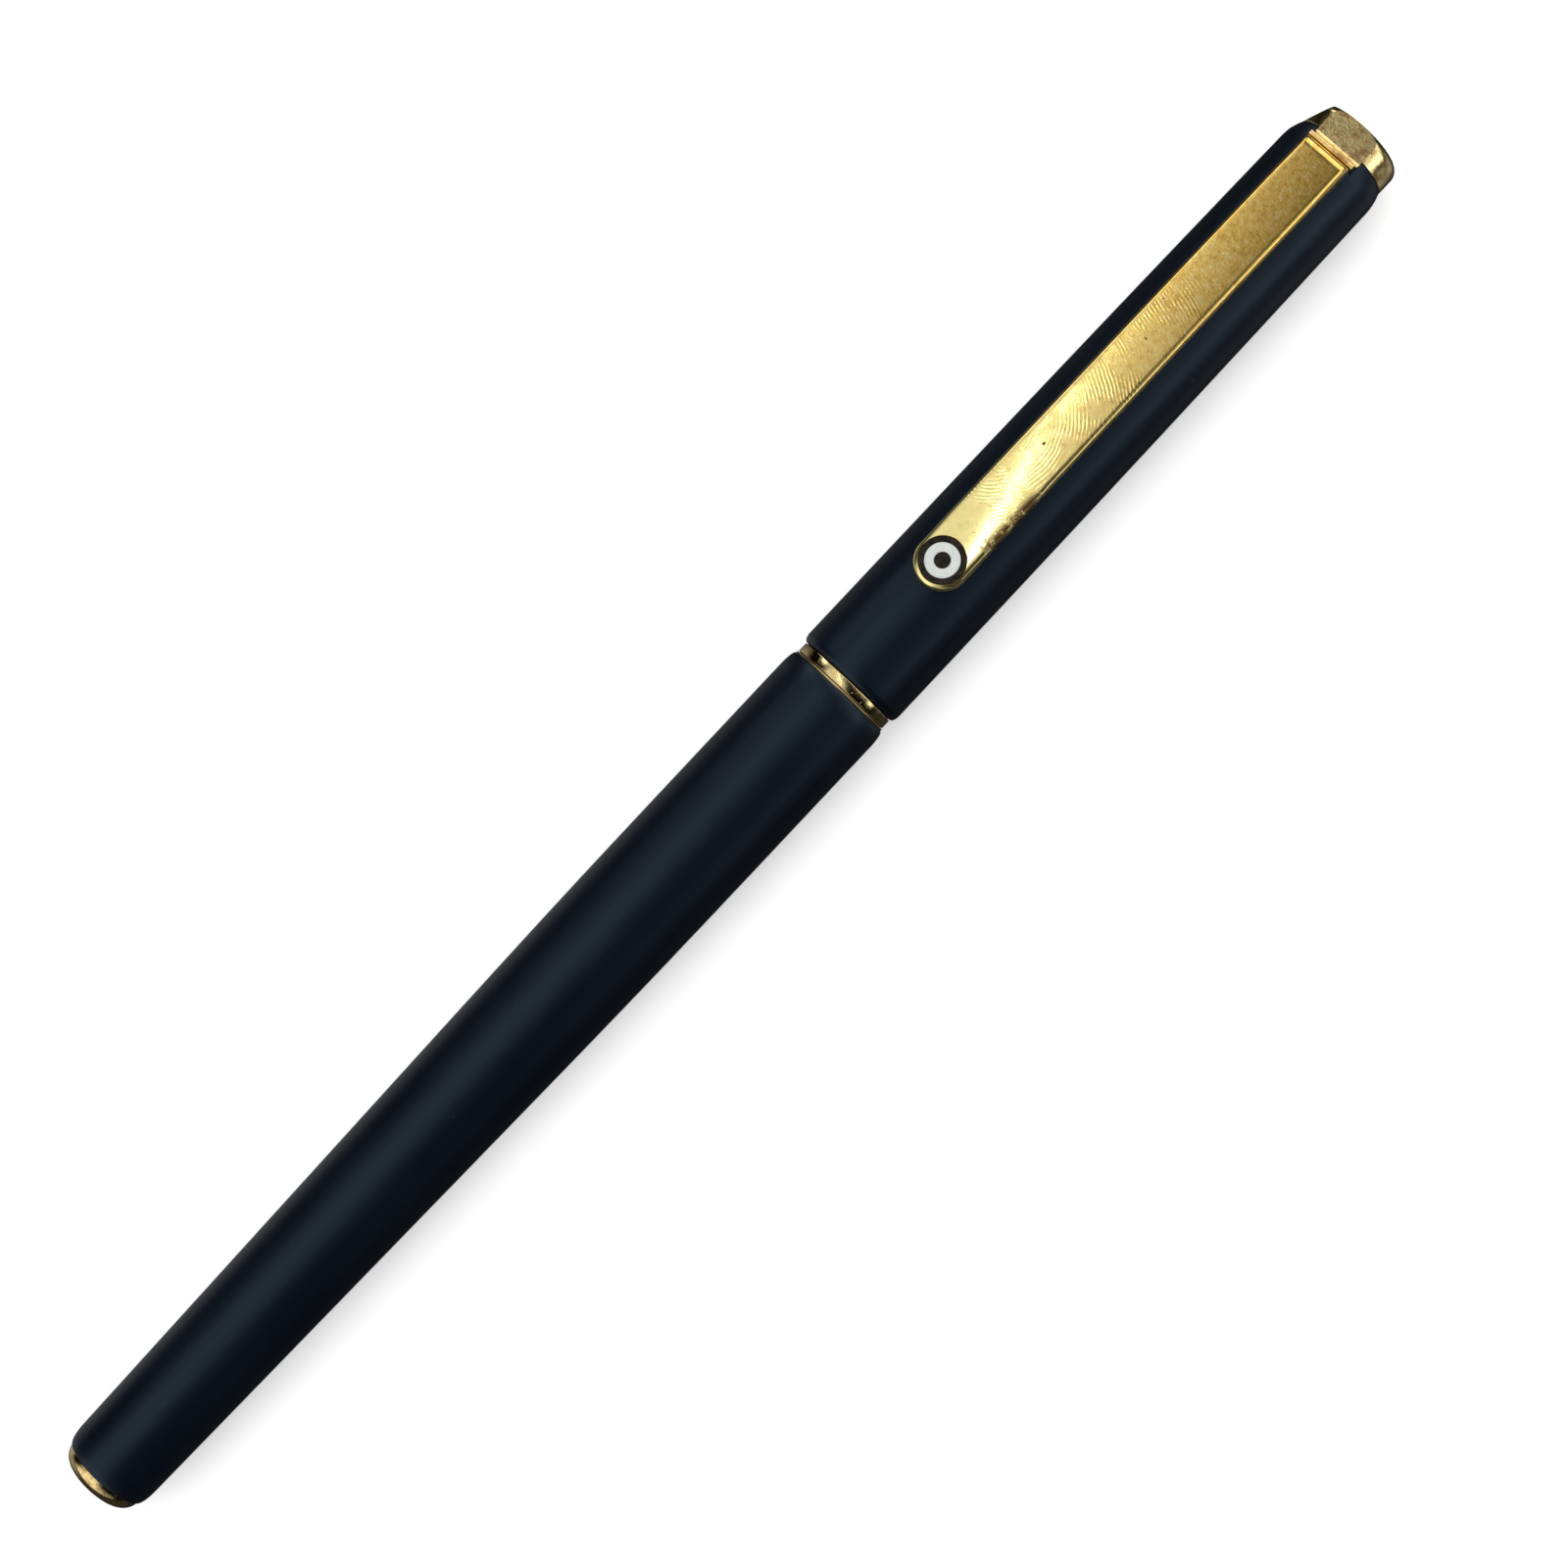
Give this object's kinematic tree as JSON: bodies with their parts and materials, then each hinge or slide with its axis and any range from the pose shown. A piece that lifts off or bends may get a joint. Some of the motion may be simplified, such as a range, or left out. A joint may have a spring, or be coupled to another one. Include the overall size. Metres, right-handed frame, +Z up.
{
  "type": "rollerball pen",
  "caption": "Slim capped rollerball pen: tapered matte black barrel and cap, gold trim, spring clip with a round inlaid badge, screw-in grip section and spring-backed refill.",
  "frame": {"origin": "middle of the pen's length, below its centre line, on the plane that it lies on", "axes": "+X along the pen from its tail to the cap's top, +Y across it, +Z up through the clip"},
  "size_m": [0.135, 0.0088, 0.0104],
  "materials": {
    "matte_black_lacquer": "matte",
    "gold_plate": "polished, lightly worn gold plate",
    "plain_brass": "machined",
    "stainless_steel": "bright",
    "tungsten_carbide": "polished tungsten carbide",
    "black_resin": "gloss",
    "cap_liner_plastic": "moulded",
    "refill_plastic": "moulded",
    "black_plastic": "moulded",
    "ink_fibre": "ink-soaked polyester fibre",
    "dark_enamel": "gloss enamel",
    "pale_inlay": "satin pale grey"
  },
  "bodies": {
    "barrel": {"barrel_tube": "matte_black_lacquer", "tail_plug": "gold_plate", "barrel_bush": "plain_brass", "refill_spring": "stainless_steel"},
    "refill": {"refill_end_plug": "black_plastic", "refill_tube": "refill_plastic", "ink_reservoir": "ink_fibre", "feed_wick": "ink_fibre", "refill_nose": "black_plastic", "refill_tip": "stainless_steel"},
    "ball": {"writing_ball": "tungsten_carbide"},
    "section": {"grip_section": "black_resin", "trim_ring": "gold_plate", "nose_cone": "gold_plate"},
    "snap_ring": {"snap_ring": "stainless_steel"},
    "cap": {"cap_tube": "matte_black_lacquer", "cap_bush": "plain_brass", "inner_cap": "cap_liner_plastic", "end_plug": "plain_brass", "finial_screw": "stainless_steel", "finial": "gold_plate"},
    "clip": {"clip_arm": "gold_plate", "badge_disc": "dark_enamel", "badge_inlay": "pale_inlay"}
  },
  "joints": [
    {"name": "refill_advance", "type": "slide", "parent": "barrel", "child": "refill", "axis": [1, 0, 0], "range_m": [0, 0.004], "deforming": ["refill_spring"]},
    {"name": "ball_roll", "type": "hinge", "parent": "refill", "child": "ball", "pos_m": [0.0532, 0, 0.00444], "axis": [0, 1, 0], "continuous": true},
    {"name": "section_unscrew", "type": "hinge", "parent": "refill", "child": "section", "pos_m": [0.0125, 0, 0.00444], "axis": [1, 0, 0], "range_deg": [0, 1800]},
    {"name": "cap_turn", "type": "hinge", "parent": "section", "child": "snap_ring", "pos_m": [0.0156, 0, 0.00444], "axis": [1, 0, 0], "continuous": true},
    {"name": "cap_pull", "type": "slide", "parent": "snap_ring", "child": "cap", "axis": [1, 0, 0], "range_m": [0, 0.055]},
    {"name": "clip_flex", "type": "hinge", "parent": "cap", "child": "clip", "pos_m": [0.0632, 0, 0.00874], "axis": [0, 1, 0], "range_deg": [0, 4], "stiffness_Nm_per_rad": 8}
  ],
  "couplings": [
    {"joint": "section_unscrew", "follows": "refill_advance", "rad_per_m": 7854}
  ]
}
